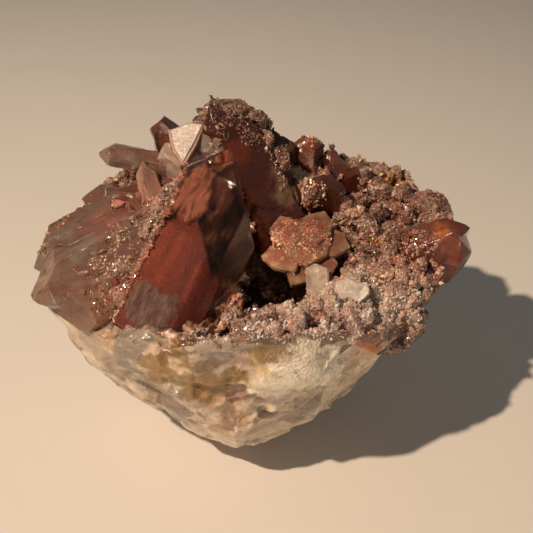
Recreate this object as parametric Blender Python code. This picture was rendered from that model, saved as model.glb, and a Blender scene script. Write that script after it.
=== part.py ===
"""A hand-sized cluster of ferruginous quartz, grown as one piece: a massive quartz root that widens upwards to a rim,
a deep hollow in its top, large iron-stained crystals round the hollow and a crust of small points over the rim.

Z is up, and the long side of the cluster lies along X. The script's own unit is the metre, and the sizes below are in
millimetres and degrees. Tables that run round the cluster start at +X and step by 30 degrees towards +Y."""

import math
import random

import bmesh
import bpy
from mathutils import Matrix, Vector, noise

MM = 0.001

# The root's outline, seen from above and from the side
RIM_REACH = (41.8, 42.0, 33.0, 29.0, 31.5, 39.5, 44.0, 36.0, 31.0, 29.0, 30.0, 34.5)
RIM_HEIGHT = (44.5, 47.0, 48.0, 50.0, 49.5, 44.5, 39.5, 41.0, 45.5, 50.0, 48.0, 41.5)
FOOT_REACH = (15.0, 15.0, 14.0, 14.0, 16.0, 19.0, 21.0, 21.0, 18.0, 16.0, 15.5, 15.5)
SIDE_CURVE = (0.72, 0.64, 0.60, 0.58, 0.56, 0.54, 0.52, 0.54, 0.58, 0.60, 0.64, 0.70)
TOP_CROWN = (2.5, 2.5, 2.0, 2.0, 4.0, 5.5, 6.5, 2.0, 0.0, 0.5, 1.5, 3.0)

# The hollow in the top, round a middle of its own
HOLLOW_MIDDLE = (7.5, -1.5)
LIP_REACH = (13.0, 15.0, 15.5, 14.0, 13.0, 12.5, 13.0, 15.0, 19.0, 18.5, 15.5, 13.0)
LIP_HEIGHT = (45.5, 47.5, 49.5, 51.0, 54.0, 55.0, 54.0, 50.0, 47.5, 49.0, 48.0, 45.5)
FLOOR_HEIGHT = 24.0
FLOOR_SHARE = 0.5

# How far along the way from the foot's middle to the floor's middle each stretch ends
FOOT_END = 0.12
SIDE_END = 0.54
TOP_END = 0.70
WALL_END = 0.93

# Broken faces on the outside: compass angle, slope below the level, and depth of the break
BREAKS = (
    (222, -36, 3.4),
    (248, -24, 2.6),
    (246, -56, 2.0),
    (272, -42, 2.6),
    (292, -24, 2.2),
    (303, -54, 3.4),
    (322, -34, 3.4),
    (348, -42, 3.2),
    (14, -26, 2.6),
    (28, -50, 3.6),
    (58, -30, 3.0),
    (84, -50, 3.4),
    (108, -26, 2.8),
    (134, -44, 3.8),
    (160, -28, 2.8),
    (178, -50, 3.8),
    (202, -30, 2.8),
    (212, -62, 2.0),
)
FOOT_PLANE = 0.4
ROOT_FACES = 5
RUGGED_OUT = 0.9
RUGGED_IN = 1.5
RUGGED_SCALE = 5.5
FLAT_ENOUGH = 4.0

# Head faces of quartz stand this far from the crystal's long axis; every second one is set back a little
HEAD_SLOPE = 51.8
SET_BACK = 0.07
TAPER = 1.2

# Large crystals: name, foot, tip, width, thickness as a share of the width, compass angle that the broad side looks
# to, which head face leads (counted counter-clockwise from the broad side) and how far it cuts in
CRYSTALS = (
    ("main_point", (-18.8, -18.6, 39.4), (-0.7, -2.3, 73.5), 20.0, 0.62, 238, 2, 0.16),
    ("second_point", (8.5, 7.0, 40.0), (-8.0, 17.5, 72.0), 13.5, 0.80, 300, 1, 0.18),
    ("left_upper", (-19.0, 11.0, 48.0), (-45.0, -1.5, 41.5), 13.0, 0.75, 265, 0, 0.10),
    ("left_lower", (-18.0, 1.0, 49.0), (-45.2, -8.0, 40.5), 12.5, 0.80, 270, 1, 0.15),
    ("left_front", (-18.0, -8.0, 46.0), (-38.5, -15.5, 42.0), 10.5, 0.80, 250, 0, 0.10),
    ("left_back", (-19.0, 14.0, 44.0), (-37.0, 14.0, 46.0), 11.0, 0.90, 90, 2, 0.15),
    ("bullet", (-15.5, 12.5, 57.0), (-31.4, 13.6, 60.0), 6.0, 0.90, 270, 4, 0.05),
    ("wedge", (-19.0, -1.0, 50.0), (-24.0, 12.5, 59.5), 7.0, 0.70, 300, 1, 0.08),
    ("white_head", (-13.5, 23.0, 53.0), (-14.2, 6.5, 62.5), 11.5, 0.90, 90, 0, 0.06),
    ("dark_head", (-15.5, 18.0, 50.0), (-17.8, 15.0, 68.0), 7.0, 0.80, 260, 2, 0.10),
    ("glassy_side", (-7.5, 15.0, 48.0), (-10.0, 12.5, 69.0), 9.0, 0.80, 250, 0, 0.14),
    ("back_first", (6.5, 20.0, 45.0), (4.8, 21.5, 62.5), 7.4, 0.90, 280, 2, 0.06),
    ("back_second", (11.5, 18.5, 45.0), (11.0, 23.0, 60.0), 6.2, 0.95, 260, 3, 0.06),
    ("back_third", (17.0, 19.0, 44.0), (17.2, 24.0, 56.0), 6.6, 0.90, 290, 1, 0.06),
    ("back_fourth", (22.0, 20.0, 42.0), (23.5, 25.5, 52.5), 7.2, 0.90, 250, 2, 0.06),
    ("barrel", (15.0, 18.5, 44.0), (14.0, 5.0, 56.5), 10.0, 0.92, 280, 0, 0.20),
    ("dark_barrel", (24.5, 24.0, 42.0), (21.0, 14.5, 52.5), 7.8, 0.95, 250, 0, 0.22),
    ("small_red", (30.0, 20.0, 42.0), (32.5, 23.5, 48.5), 4.8, 0.95, 280, 2, 0.06),
    ("right_point", (30.0, 2.0, 41.5), (45.2, 3.8, 47.5), 11.5, 0.92, 290, 0, 0.12),
    ("rosette_upper", (8.5, 3.5, 26.0), (8.0, 2.5, 54.5), 12.5, 0.85, 250, 1, 0.30),
    ("rosette_right", (9.5, 2.5, 30.0), (16.0, 0.0, 53.0), 10.0, 0.90, 290, 0, 0.25),
    ("rosette_lower", (8.5, 0.5, 30.0), (7.5, -6.5, 50.5), 10.0, 0.85, 270, 3, 0.22),
    ("rosette_left", (8.0, 3.0, 32.0), (0.5, -0.5, 52.0), 9.0, 0.85, 240, 5, 0.22),
)

# Crystals and lumps whose outer end was broken off flush with the outside of the root
BROKEN_FLUSH = ("main_point", "ridge_lower", "front_right_mass", "front_knob")

# Massive lumps: name, middle, size, turn
LUMPS = (
    ("back_mass", (10.0, 15.5, 45.0), (15.0, 12.0, 17.0), 10),
    ("right_mass", (29.0, 8.0, 40.5), (24.0, 20.0, 15.0), -15),
    ("right_rim", (35.5, 12.5, 42.5), (15.0, 15.0, 16.0), 25),
    ("front_right_mass", (25.0, -14.0, 39.0), (22.0, 13.0, 16.0), 20),
    ("pink_lump", (28.0, 21.0, 44.0), (10.0, 8.0, 11.0), 0),
    ("front_knob", (13.5, -13.0, 42.0), (8.0, 8.0, 14.0), 15),
    ("ridge_upper", (-16.5, 4.0, 54.0), (8.0, 15.0, 11.0), -20),
    ("ridge_lower", (-23.0, -11.0, 46.0), (9.0, 14.0, 10.0), -35),
    ("peak_crust", (-5.0, 16.5, 66.5), (12.0, 9.0, 9.5), 10),
)

# Small points on the crust: how many, their width, how they stand, and the stretch of the rim that they grow on
POINT_SEED = 11
POINTS = 62
POINT_WIDTH = (2.4, 4.6)
POINT_HEIGHT = (0.5, 1.0)
POINT_LEAN = 0.6
POINT_SINK = 1.6
CRUST_FROM = -105
CRUST_TO = 100


def around(table, degrees):
    """The value of a table that runs round the cluster, on a smooth closed curve through its entries."""
    place = degrees / 360 * len(table)
    first = math.floor(place)
    share = place - first
    a, b, c, d = (table[(first + k) % len(table)] for k in (-1, 0, 1, 2))
    bend = share * (c - a + share * (2 * a - 5 * b + 4 * c - d + share * (3 * (b - c) + d - a)))
    return b + 0.5 * bend


def turned(reach, degrees, height, middle=(0, 0)):
    angle = math.radians(degrees)
    return Vector((middle[0] + reach * math.cos(angle), middle[1] + reach * math.sin(angle), height))


def root_point(way, degrees):
    """The root's surface at a share of the way from the foot's middle, up the side and over the rim, to the hollow's floor."""
    foot = around(FOOT_REACH, degrees)
    rim = around(RIM_REACH, degrees)
    height = around(RIM_HEIGHT, degrees)
    lip = around(LIP_REACH, degrees)
    lip_height = around(LIP_HEIGHT, degrees)
    if way < FOOT_END:
        return turned(foot * way / FOOT_END, degrees, 0)
    if way < SIDE_END:
        up = (way - FOOT_END) / (SIDE_END - FOOT_END)
        up = up ** 1.3
        return turned(foot + (rim - foot) * up ** around(SIDE_CURVE, degrees), degrees, height * up)
    if way < TOP_END:
        share = (way - SIDE_END) / (TOP_END - SIDE_END)
        outer = turned(rim, degrees, height)
        inner = turned(lip, degrees, lip_height, HOLLOW_MIDDLE)
        rise = around(TOP_CROWN, degrees) * math.sin(math.pi * share)
        return outer.lerp(inner, share) + Vector((0, 0, rise))
    if way < WALL_END:
        down = (way - TOP_END) / (WALL_END - TOP_END)
        reach = lip * (1 - (1 - FLOOR_SHARE) * down ** 1.5)
        return turned(reach, degrees, lip_height + (FLOOR_HEIGHT - lip_height) * down, HOLLOW_MIDDLE)
    share = (1 - way) / (1 - WALL_END)
    return turned(lip * FLOOR_SHARE * share, degrees, FLOOR_HEIGHT, HOLLOW_MIDDLE)


def aimed(compass, slope):
    a, s = math.radians(compass), math.radians(slope)
    return Vector((math.cos(a) * math.cos(s), math.sin(a) * math.cos(s), math.sin(s)))


def break_planes(bm):
    """Each broken face of the outside as a direction and how far out along it the stone still reaches."""
    for compass, slope, depth in BREAKS:
        out = aimed(compass, slope)
        yield out, max(out.dot(v.co) for v in bm.verts) - depth


def roughen(bm):
    """Lumpy relief, strong on the crusted top and in the hollow, slight on the broken outside, none on the foot."""
    bm.normal_update()
    moved = []
    for v in bm.verts:
        inside = v.normal.z > 0.1 or (v.co.xy.length < 24 and v.co.z > 20)
        rugged = RUGGED_IN if inside else RUGGED_OUT
        rugged *= min(1.0, v.co.z / 3.0)
        lift = noise.fractal(v.co / RUGGED_SCALE, 0.8, 2.1, 3)
        moved.append(v.co + v.normal * rugged * lift)
    for v, place in zip(bm.verts, moved):
        v.co = place


def build_root():
    """The root, and the planes of its broken outside."""
    bm = bmesh.new()
    bmesh.ops.create_icosphere(bm, subdivisions=ROOT_FACES, radius=1)
    for v in bm.verts:
        way = math.acos(max(-1.0, min(1.0, -v.co.z))) / math.pi
        v.co = root_point(way, math.degrees(math.atan2(v.co.y, v.co.x)))
    planes = list(break_planes(bm))
    roughen(bm)
    for v in bm.verts:
        for out, limit in planes:
            v.co -= out * max(0.0, out.dot(v.co) - limit)
        v.co.z = 0.0 if v.co.z < FOOT_PLANE else v.co.z
    bmesh.ops.dissolve_limit(bm, angle_limit=math.radians(FLAT_ENOUGH), verts=bm.verts, edges=bm.edges)
    return bm, planes


def cut(bm, point, out):
    """Cuts a closed convex body with a plane, drops what lies outside and closes the cut."""
    everything = bm.verts[:] + bm.edges[:] + bm.faces[:]
    found = bmesh.ops.bisect_plane(bm, geom=everything, dist=1e-5, plane_co=point, plane_no=out, clear_outer=True)
    rim = [e for e in found["geom_cut"] if isinstance(e, bmesh.types.BMEdge) and e.is_valid and e.is_boundary]
    if rim:
        bmesh.ops.edgeloop_fill(bm, edges=rim)


def build_crystal(foot, tip, width, flatness, compass, lead, lead_by):
    """A six-sided quartz prism from foot to tip, cut from a block by its sides and by the sloping faces of its head."""
    foot, tip = Vector(foot), Vector(tip)
    length = (tip - foot).length
    along = (tip - foot).normalized()
    broad = aimed(compass, 0)
    broad = (broad - along * along.dot(broad)).normalized()
    bm = bmesh.new()
    bmesh.ops.create_cube(bm, size=1)
    bmesh.ops.scale(bm, verts=bm.verts, vec=(2 * width, 2 * width, length + width))
    bmesh.ops.translate(bm, verts=bm.verts, vec=(0, 0, (length + width) / 2))
    middle = Vector((0, 0, length / 2))
    for side in range(6):
        reach = width * 0.433 * (flatness if side in (0, 3) else 1.0)
        out = aimed(60 * side, TAPER)
        cut(bm, middle + out * reach, out)
    for side in range(6):
        out = aimed(60 * side, 90 - HEAD_SLOPE)
        back = SET_BACK * (side % 2) - lead_by * (side == lead)
        cut(bm, Vector((0, 0, length)) + out * back * width, out)
    turn = Matrix((broad, along.cross(broad), along)).transposed().to_4x4()
    bmesh.ops.transform(bm, verts=bm.verts, matrix=Matrix.Translation(foot) @ turn)
    return bm


def build_lump(middle, size, turn, seed):
    """A blocky lump: a ball of the lump's size, cut flat on many sides."""
    rng = random.Random(seed)
    bm = bmesh.new()
    bmesh.ops.create_icosphere(bm, subdivisions=2, radius=0.5)
    for _ in range(9):
        out = Vector((rng.gauss(0, 1), rng.gauss(0, 1), rng.gauss(0.3, 1))).normalized()
        cut(bm, out * rng.uniform(0.36, 0.44), out)
    bmesh.ops.scale(bm, verts=bm.verts, vec=size)
    bmesh.ops.rotate(bm, verts=bm.verts, matrix=Matrix.Rotation(math.radians(turn), 3, "Z"))
    bmesh.ops.translate(bm, verts=bm.verts, vec=middle)
    return bm


def small_points():
    """Foot, tip and width of each small crystal of the crust, scattered over the rim's top and its inner wall."""
    rng = random.Random(POINT_SEED)
    for _ in range(POINTS):
        degrees = rng.uniform(CRUST_FROM, CRUST_TO)
        way = rng.uniform(SIDE_END + 0.02, TOP_END + 0.05)
        here = root_point(way, degrees)
        along = root_point(way + 0.01, degrees) - here
        across = root_point(way, degrees + 2) - here
        out = across.cross(along).normalized()
        lean = Vector((rng.uniform(-1, 1), rng.uniform(-1, 1), rng.uniform(0, 1)))
        out = (out + lean * POINT_LEAN).normalized()
        width = rng.uniform(*POINT_WIDTH)
        yield here - out * POINT_SINK, here + out * width * rng.uniform(*POINT_HEIGHT), width


def small_crystals():
    for number, (foot, tip, width) in enumerate(small_points()):
        yield f"small_point_{number}", build_crystal(foot, tip, width, 0.9, 47 * number, number % 6, 0.1)


def break_flush(bm, planes):
    for out, limit in planes:
        if any(out.dot(v.co) > limit for v in bm.verts):
            cut(bm, out * limit, out)


def finish_mesh(bm, name, collection):
    bmesh.ops.scale(bm, verts=bm.verts, vec=(MM, MM, MM))
    bmesh.ops.triangulate(bm, faces=bm.faces)
    bmesh.ops.recalc_face_normals(bm, faces=bm.faces)
    mesh = bpy.data.meshes.new(name)
    bm.to_mesh(mesh)
    bm.free()
    obj = bpy.data.objects.new(name, mesh)
    collection.objects.link(obj)
    return obj


def quartz_material():
    material = bpy.data.materials.new("ferruginous_quartz")
    material.use_nodes = True
    shader = material.node_tree.nodes["Principled BSDF"]
    shader.inputs["Base Color"].default_value = (0.36, 0.17, 0.11, 1)
    shader.inputs["Roughness"].default_value = 0.35
    shader.inputs["Metallic"].default_value = 0.0
    return material


def clear_scene():
    for obj in list(bpy.data.objects):
        bpy.data.objects.remove(obj)


def new_collection(name):
    collection = bpy.data.collections.new(name)
    bpy.context.scene.collection.children.link(collection)
    return collection


def centre_on_foot(objects):
    """Moves every mesh by the same step, so that the whole cluster stands centred over the origin."""
    corners = [v.co for obj in objects for v in obj.data.vertices]
    middle_x = (min(c.x for c in corners) + max(c.x for c in corners)) / 2
    middle_y = (min(c.y for c in corners) + max(c.y for c in corners)) / 2
    print("cluster middle in mm", round(middle_x / MM, 3), round(middle_y / MM, 3))
    for obj in objects:
        obj.data.transform(Matrix.Translation((-middle_x, -middle_y, 0)))


def main():
    clear_scene()
    cluster = new_collection("ferruginous_quartz_cluster")
    grown_on = new_collection("joined_to_the_root")
    root_mesh, planes = build_root()
    forms = [(name, build_crystal(*form)) for name, *form in CRYSTALS]
    forms += [(form[0], build_lump(*form[1:], seed)) for seed, form in enumerate(LUMPS)]
    forms += small_crystals()
    for name, bm in forms:
        if name in BROKEN_FLUSH:
            break_flush(bm, planes)
        helper = finish_mesh(bm, name, grown_on)
        helper.hide_render = True
        helper.display_type = "WIRE"
    root = finish_mesh(root_mesh, "quartz_cluster", cluster)
    root.data.materials.append(quartz_material())
    centre_on_foot([root, *grown_on.objects])
    join = root.modifiers.new("join_crystals", "BOOLEAN")
    join.operation = "UNION"
    join.operand_type = "COLLECTION"
    join.collection = grown_on
    join.solver = "EXACT"


main()
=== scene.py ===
"""The look of a hand-sized cluster of ferruginous quartz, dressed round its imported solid.

The shapes are modelled in millimetres in the cluster's own frame, with Z up and the long side along X, and turned
into metres when a piece is finished. Tables that run round the cluster start at +X and step by 30 degrees to +Y."""

import math
import random

import bmesh
import bpy
import numpy as np
from mathutils import Matrix, Vector, noise
from mathutils.bvhtree import BVHTree


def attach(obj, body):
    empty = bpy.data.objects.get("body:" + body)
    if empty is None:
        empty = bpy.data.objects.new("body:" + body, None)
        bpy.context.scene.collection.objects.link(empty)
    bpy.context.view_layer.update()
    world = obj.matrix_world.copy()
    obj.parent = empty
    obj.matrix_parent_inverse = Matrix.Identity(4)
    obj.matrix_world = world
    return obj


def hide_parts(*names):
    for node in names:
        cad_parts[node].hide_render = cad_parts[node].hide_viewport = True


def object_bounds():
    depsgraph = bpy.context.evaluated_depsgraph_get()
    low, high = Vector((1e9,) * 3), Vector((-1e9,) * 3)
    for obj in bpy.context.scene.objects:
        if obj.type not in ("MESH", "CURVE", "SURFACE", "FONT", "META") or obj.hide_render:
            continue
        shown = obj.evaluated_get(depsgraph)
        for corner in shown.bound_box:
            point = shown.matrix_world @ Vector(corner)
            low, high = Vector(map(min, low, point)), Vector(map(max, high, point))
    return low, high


MM = 0.001
NODE = "quartz_cluster"
MIDDLE = (-0.246, 0.035, 0.0)

# The root's outline, seen from above and from the side
RIM_REACH = (41.8, 42.0, 33.0, 29.0, 31.5, 39.5, 44.0, 36.0, 31.0, 29.0, 30.0, 34.5)
RIM_HEIGHT = (44.5, 47.0, 48.0, 50.0, 49.5, 44.5, 39.5, 41.0, 45.5, 50.0, 48.0, 41.5)
FOOT_REACH = (15.0, 15.0, 14.0, 14.0, 16.0, 19.0, 21.0, 21.0, 18.0, 16.0, 15.5, 15.5)
SIDE_CURVE = (0.72, 0.64, 0.60, 0.58, 0.56, 0.54, 0.52, 0.54, 0.58, 0.60, 0.64, 0.70)
TOP_CROWN = (2.5, 2.5, 2.0, 2.0, 4.0, 5.5, 6.5, 2.0, 0.0, 0.5, 1.5, 3.0)

# The hollow in the top, round a middle of its own
HOLLOW_MIDDLE = (7.5, -1.5)
LIP_REACH = (13.0, 15.0, 15.5, 14.0, 13.0, 12.5, 13.0, 15.0, 19.0, 18.5, 15.5, 13.0)
LIP_HEIGHT = (45.5, 47.5, 49.5, 51.0, 54.0, 55.0, 54.0, 50.0, 47.5, 49.0, 48.0, 45.5)
FLOOR_HEIGHT = 24.0
FLOOR_SHARE = 0.5

# How far along the way from the foot's middle to the floor's middle each stretch ends
FOOT_END = 0.12
SIDE_END = 0.54
TOP_END = 0.70
WALL_END = 0.93

# Broken faces on the outside: compass angle, slope below the level, and depth of the break
BREAKS = (
    (222, -36, 3.4),
    (248, -24, 2.6),
    (246, -56, 2.0),
    (272, -42, 2.6),
    (292, -24, 2.2),
    (303, -54, 3.4),
    (322, -34, 3.4),
    (348, -42, 3.2),
    (14, -26, 2.6),
    (28, -50, 3.6),
    (58, -30, 3.0),
    (84, -50, 3.4),
    (108, -26, 2.8),
    (134, -44, 3.8),
    (160, -28, 2.8),
    (178, -50, 3.8),
    (202, -30, 2.8),
    (212, -62, 2.0),
)
FOOT_PLANE = 0.4
CORE = (0.0, 0.0, 27.0)
SUNK = 2.4
ROOT_FACES = 8

# Shallow chips between the broken faces, dents, and places where the outside sparkles: middle, reach, depth
CHIP_SEED = 4
CHIPS = 60
CHIP_SLOPE = (-14, 56)
CHIP_DEPTH = (1.6, 4.0)
CHIP_SWELL = 1.2
CHIP_SIZE = 9.0
SEAM = 0.03

# How far the broken outside reaches over the rim, as a share of the way, and millimetres to a whole way
RIM_OVER = (0.0, 0.0, 0.0, 0.0, 0.0, 0.0, 0.0, 0.035, 0.045, 0.0, 0.0, 0.0)
WAY_LENGTH = 130

# The relief eases off between these distances from the middle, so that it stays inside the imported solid's box
HELD_X = (41.5, 44.2)
HELD_Y = (26.0, 28.9)
DENTS = (
    ((3.1, -24.6, 24.8), 2.6, 1.8),
    ((-3.9, -25.1, 29.5), 2.4, 1.5),
    ((-15, -24, 35), 5.0, 0.8),
    ((-2, -27, 34), 5.5, 0.9),
    ((14, -24, 29), 6.0, 1.2),
    ((9, -27, 41), 9.0, -2.4),
    ((-4, -28, 45), 4.5, -1.0),
    ((24, -20, 36), 5.0, -0.8),
)
SUGARY = (
    ((9, -26, 42), 9),
    ((14, -24, 35), 7),
    ((-3, -28, 46), 3.5),
)
RUGGED_OUT = 0.9
RUGGED_IN = 1.5
RUGGED_SCALE = 5.5

# Head faces of quartz stand this far from the crystal's long axis; every second one is set back a little
HEAD_SLOPE = 51.8
SET_BACK = 0.07
TAPER = 1.2

# Large crystals: name, foot, tip, width, thickness as a share of the width, compass angle that the broad side looks
# to, which head face leads (counted counter-clockwise from the broad side) and how far it cuts in
CRYSTALS = (
    ("main_point", (-18.8, -18.6, 39.4), (-0.7, -2.3, 73.5), 20.0, 0.62, 238, 2, 0.16),
    ("second_point", (8.5, 7.0, 40.0), (-8.0, 17.5, 72.0), 13.5, 0.80, 300, 1, 0.18),
    ("left_upper", (-19.0, 11.5, 47.5), (-45.0, -1.5, 41.5), 14.5, 0.72, 225, 0, 0.10),
    ("left_lower", (-18.0, 1.0, 49.0), (-45.2, -8.0, 40.5), 13.5, 0.75, 218, 1, 0.15),
    ("left_middle", (-17.0, 6.5, 50.0), (-43.5, -3.5, 42.0), 12.0, 0.75, 226, 0, 0.20),
    ("left_front", (-18.0, -8.0, 46.0), (-38.5, -15.5, 42.0), 12.5, 0.75, 213, 0, 0.10),
    ("left_lap", (-15.0, -3.0, 49.0), (-38.0, -12.5, 42.5), 11.5, 0.75, 230, 0, 0.25),
    ("left_top", (-14.0, 10.5, 52.5), (-31.0, 4.0, 50.5), 10.0, 0.75, 209, 0, 0.25),
    ("left_back", (-19.0, 14.0, 44.0), (-37.0, 14.0, 46.0), 11.0, 0.90, 90, 2, 0.15),
    ("bullet", (-15.5, 12.5, 57.0), (-31.4, 13.6, 60.0), 6.0, 0.90, 270, 4, 0.05),
    ("wedge", (-17.5, -1.5, 50.0), (-22.0, 11.0, 60.0), 5.6, 0.70, 300, 1, 0.08),
    ("white_head", (-13.5, 23.0, 53.0), (-14.2, 6.5, 62.5), 11.5, 0.90, 90, 0, 0.06),
    ("dark_head", (-15.5, 18.0, 50.0), (-17.8, 15.0, 68.0), 7.0, 0.80, 260, 2, 0.10),
    ("glassy_side", (-7.5, 15.0, 48.0), (-10.0, 12.5, 69.0), 9.0, 0.80, 250, 0, 0.14),
    ("back_first", (6.5, 20.0, 45.0), (4.8, 21.5, 62.0), 9.6, 0.90, 280, 2, 0.16),
    ("back_second", (11.5, 18.5, 45.0), (11.0, 23.0, 59.2), 8.2, 0.95, 260, 3, 0.16),
    ("back_third", (17.0, 19.0, 44.0), (17.2, 24.0, 55.4), 8.6, 0.90, 290, 1, 0.16),
    ("back_fourth", (22.0, 20.0, 42.0), (23.5, 25.0, 52.0), 9.0, 0.90, 250, 2, 0.16),
    ("barrel", (15.0, 18.5, 44.0), (14.0, 5.0, 56.5), 10.0, 0.92, 280, 0, 0.20),
    ("dark_barrel", (24.5, 24.0, 42.0), (21.0, 14.5, 52.5), 7.8, 0.95, 250, 0, 0.22),
    ("small_red", (30.0, 20.0, 42.0), (32.5, 23.5, 48.5), 4.8, 0.95, 280, 2, 0.06),
    ("right_point", (30.0, 2.0, 41.5), (45.2, 3.8, 47.5), 11.5, 0.92, 340, 0, 0.12),
    ("right_head", (38.0, 5.0, 38.5), (40.2, -0.4, 51.2), 11.4, 0.92, 262, 3, 0.10),
    ("rosette_upper", (8.5, 3.5, 26.0), (8.0, 2.5, 54.5), 12.5, 0.85, 250, 1, 0.30),
    ("rosette_right", (9.5, 2.5, 30.0), (16.0, 0.0, 53.0), 10.0, 0.90, 290, 0, 0.25),
    ("rosette_lower", (8.5, 0.5, 30.0), (7.5, -6.5, 50.5), 10.0, 0.85, 270, 3, 0.22),
    ("rosette_left", (8.0, 3.0, 32.0), (0.5, -0.5, 52.0), 9.0, 0.85, 240, 5, 0.22),
)

# Crystals and lumps whose outer end was broken off flush with the outside of the root
BROKEN_FLUSH = ("main_point", "ridge_lower", "front_right_mass", "front_knob")

# Massive lumps: name, middle, size, turn
LUMPS = (
    ("back_mass", (10.0, 15.5, 45.0), (15.0, 12.0, 17.0), 10),
    ("right_mass", (29.0, 8.0, 40.5), (24.0, 20.0, 15.0), -15),
    ("right_rim", (35.5, 12.5, 42.5), (15.0, 15.0, 16.0), 25),
    ("front_right_mass", (25.0, -14.0, 39.0), (22.0, 13.0, 16.0), 20),
    ("pink_lump", (28.0, 21.0, 44.0), (10.0, 8.0, 11.0), 0),
    ("front_knob", (13.5, -13.0, 42.0), (8.0, 8.0, 14.0), 15),
    ("ridge_upper", (-16.5, 4.0, 54.0), (8.0, 15.0, 11.0), -20),
    ("ridge_lower", (-23.0, -11.0, 46.0), (9.0, 14.0, 10.0), -35),
    ("peak_crust", (-5.0, 16.5, 66.5), (12.0, 9.0, 9.5), 10),
)

# Small points on the crust: how many, their width, how they stand, and the stretch of the rim that they grow on
GRAINS_A_PIECE = 15800
POINT_SEED = 11
POINTS = 62
POINT_WIDTH = (2.4, 4.6)
POINT_HEIGHT = (0.5, 1.0)
POINT_LEAN = 0.6
POINT_SINK = 1.6
CRUST_FROM = -105
CRUST_TO = 100
WORN_MESH = 0.9
BLOCK_SEED = 3
BLOCKS = 46
BLOCK_WIDTH = (3.2, 8.0)
BLOCK_WAY = (SIDE_END + 0.02, TOP_END + 0.04)
BLOCK_STRETCH = (-62, 105)
FRONT_BLOCKS = ((19, -21, 44), (23.5, -19.5, 44), (27.5, -17, 43.5), (31, -13, 43.5))
PEAK_BLOCKS = ((-8, 15, 67.5), (-4, 15, 68.5), (0, 15, 66.5), (3, 14, 63.5), (-5.5, 13.5, 66), (5.5, 13, 60.5))

# The etched patch low on the main crystal's broad side: corners across and along
ETCHED = ((-7.4, 5.6), (-6.8, 9.8), (-4.1, 12.4), (-0.6, 11.4), (3.0, 12.6), (4.0, 8.6), (3.0, 4.2), (-1.6, 2.2), (-5.6, 1.6))

# The rosette's plates in the hollow: middle, reach, corners, height and turn
PETALS = (
    (11.0, -1.0, 6.4, 7, 49.2, 10),
    (15.6, -0.4, 4.6, 6, 48.6, 40),
    (6.2, -3.4, 4.8, 6, 48.2, 0),
    (9.6, -6.0, 4.4, 5, 47.0, 25),
    (7.0, 1.6, 4.6, 6, 49.6, 50),
    (12.8, 2.4, 4.6, 7, 49.9, 15),
    (14.2, -4.6, 3.8, 5, 47.6, 70),
)

# Flat glassy plates in the crust: corners seen from above, height of the first one, slope to the back
CRUST_PLATES = (
    (((15.6, -16.2), (16.9, -19.3), (18.6, -18.7), (20.3, -19.9), (22.9, -17.6), (22.2, -15.4), (20.1, -15.9),
      (18.3, -14.7)), 51.6, 0.6, (0.95, 0.88, 0.79)),
    (((10.0, -8.0), (10.4, -13.0), (13.0, -14.5), (15.2, -13.0), (15.0, -8.2), (12.5, -7.0)), 48.8, 0.35, (0.46, 0.34, 0.26)),
)

# Colours of the stone as it would look in white light
MILKY = (0.62, 0.51, 0.40)
WHITE = (0.95, 0.85, 0.70)
GREY = (0.30, 0.245, 0.197)
SMOKE = (0.24, 0.17, 0.13)
YELLOW = (0.31, 0.183, 0.068)
GREENISH = (0.90, 0.74, 0.51)
PALE = (0.74, 0.54, 0.42)
ROSE = (0.50, 0.24, 0.17)
TAN = (0.52, 0.34, 0.21)
BROWN = (0.36, 0.21, 0.155)
MAROON = (0.25, 0.105, 0.08)
# DARK also serves as painted shade low in the crust, in crust_colour.
DARK = (0.09, 0.038, 0.028)
RED = (0.34, 0.055, 0.025)
ORANGE = (0.62, 0.20, 0.07)
OCHRE = (0.80, 0.36, 0.06)
GRAIN_DARK = (0.36, 0.13, 0.09)
GRAIN_LIGHT = (0.66, 0.41, 0.31)
CREAM = (0.76, 0.56, 0.45)
PETAL_HEART = (0.30, 0.12, 0.08)
PETAL_EDGE = (0.48, 0.32, 0.19)

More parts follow.
